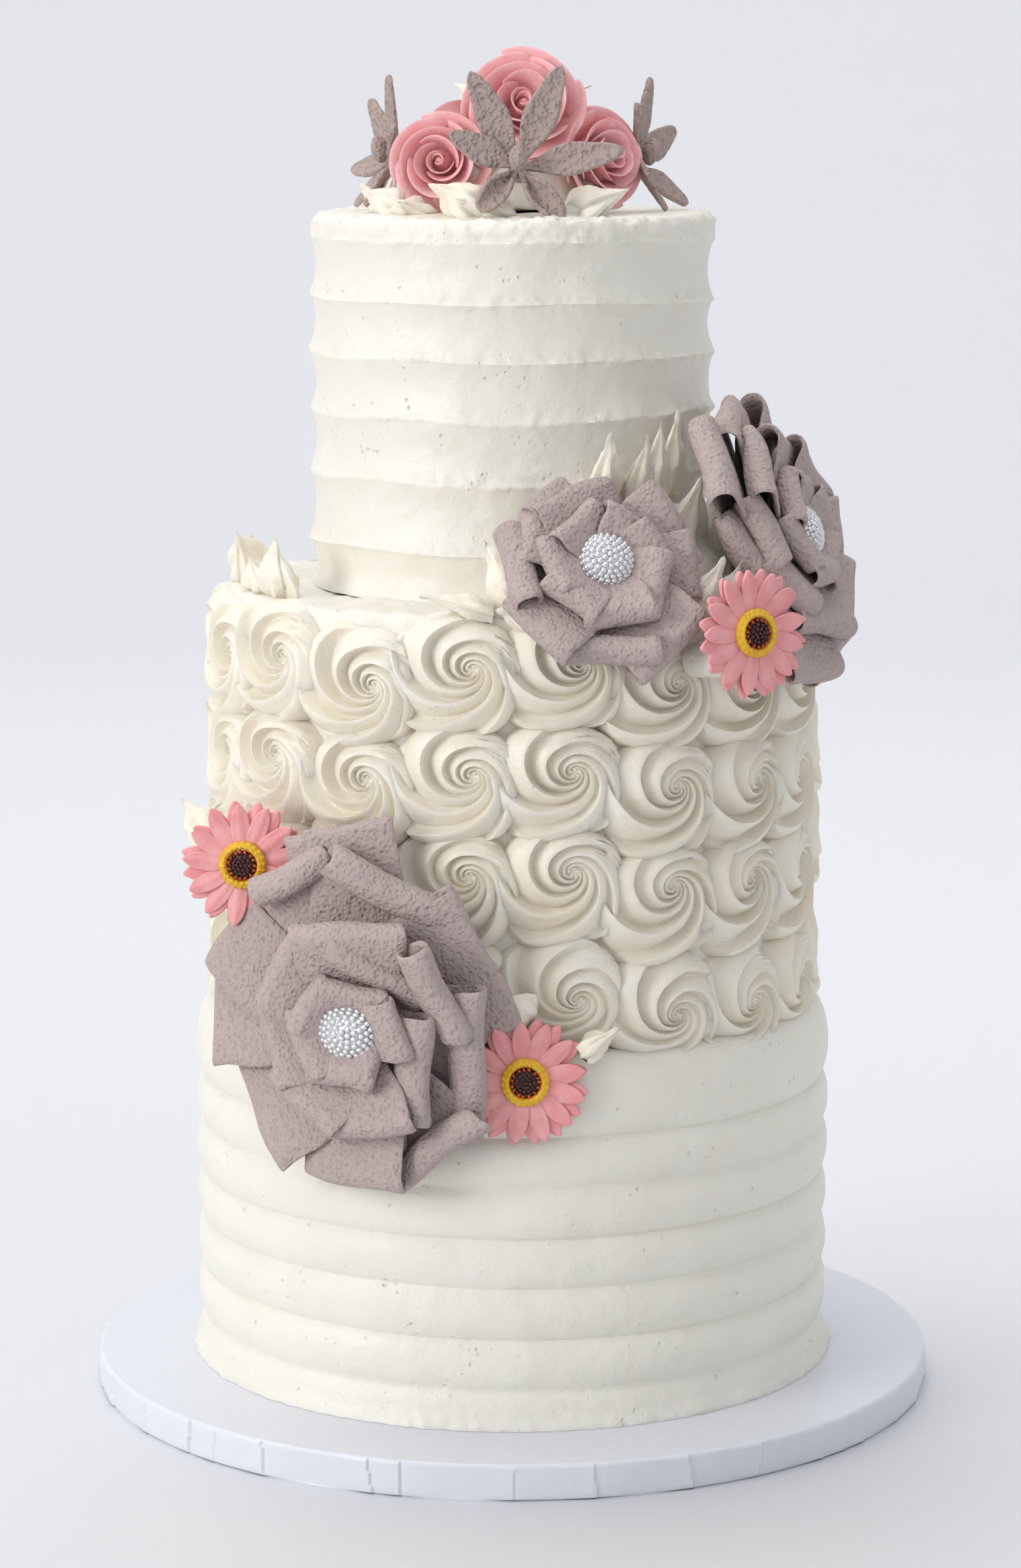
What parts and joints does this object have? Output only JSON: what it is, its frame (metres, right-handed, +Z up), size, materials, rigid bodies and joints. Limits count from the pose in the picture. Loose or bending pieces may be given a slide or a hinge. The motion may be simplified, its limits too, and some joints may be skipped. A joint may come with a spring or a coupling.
{
  "type": "tiered wedding cake",
  "caption": "Round tiered celebration cake on its board, combed and swirled buttercream sides, folded-strip and daisy sugar flowers, and a small bouquet on top.",
  "frame": {"origin": "centre of the board's underside", "axes": "+Z up through the tiers' common axis, the front with the two large flowers looks along -Y, +X to the viewer's right"},
  "size_m": [0.3048, 0.3048, 0.4799],
  "materials": {
    "buttercream": "soft satin buttercream with fine air holes",
    "gum_paste": "dull taupe gum paste with a leathery, pitted skin",
    "rose_petal": "smooth dull pink sugar paste",
    "daisy_petal": "dusted pink sugar paste",
    "yellow_beads": "sugar grains, yellow outside and orange inside",
    "seed_centre": "dark brown grains",
    "silver_beads": "silver sugar beads, slightly warm",
    "board_wrap": "white coated paper, creased where it is folded over the edge"
  },
  "bodies": {
    "root": {"bottom_tier": "buttercream", "bouquet_mound": "buttercream", "cake_drum": "board_wrap", "daisy_left_petals": "daisy_petal", "daisy_left_ring": "yellow_beads", "daisy_left_seeds": "seed_centre", "daisy_lower_petals": "daisy_petal", "daisy_lower_ring": "yellow_beads", "daisy_lower_seeds": "seed_centre", "daisy_upper_petals": "daisy_petal", "daisy_upper_ring": "yellow_beads", "daisy_upper_seeds": "seed_centre", "flower_front_button": "silver_beads", "flower_front_inner_petals": "gum_paste", "flower_front_outer_petals": "gum_paste", "flower_left_button": "silver_beads", "flower_left_inner_petals": "gum_paste", "flower_left_middle_petals": "gum_paste", "flower_left_outer_petals": "gum_paste", "flower_right_button": "silver_beads", "flower_right_inner_petals": "gum_paste", "flower_right_middle_petals": "gum_paste", "flower_right_outer_petals": "gum_paste", "icing_bank": "buttercream", "icing_dollop_left": "buttercream", "icing_dollop_upper": "buttercream", "icing_leaf_01": "buttercream", "icing_leaf_02": "buttercream", "icing_leaf_03": "buttercream", "icing_leaf_04": "buttercream", "icing_leaf_05": "buttercream", "icing_leaf_06": "buttercream", "icing_leaf_07": "buttercream", "icing_leaf_08": "buttercream", "icing_leaf_09": "buttercream", "icing_leaf_10": "buttercream", "icing_leaf_11": "buttercream", "icing_leaf_12": "buttercream", "icing_leaf_13": "buttercream", "icing_leaf_14": "buttercream", "middle_tier": "buttercream", "rose_back_left": "rose_petal", "rose_back_right": "rose_petal", "rose_centre": "rose_petal", "rose_left": "rose_petal", "rose_right": "rose_petal", "rosette_row_1": "buttercream", "rosette_row_2": "buttercream", "rosette_row_3": "buttercream", "rosette_row_4": "buttercream", "star_front_bud": "gum_paste", "star_front_petals": "gum_paste", "star_left_bud": "gum_paste", "star_left_petals": "gum_paste", "star_right_bud": "gum_paste", "star_right_petals": "gum_paste", "top_tier": "buttercream"}
  },
  "joints": []
}
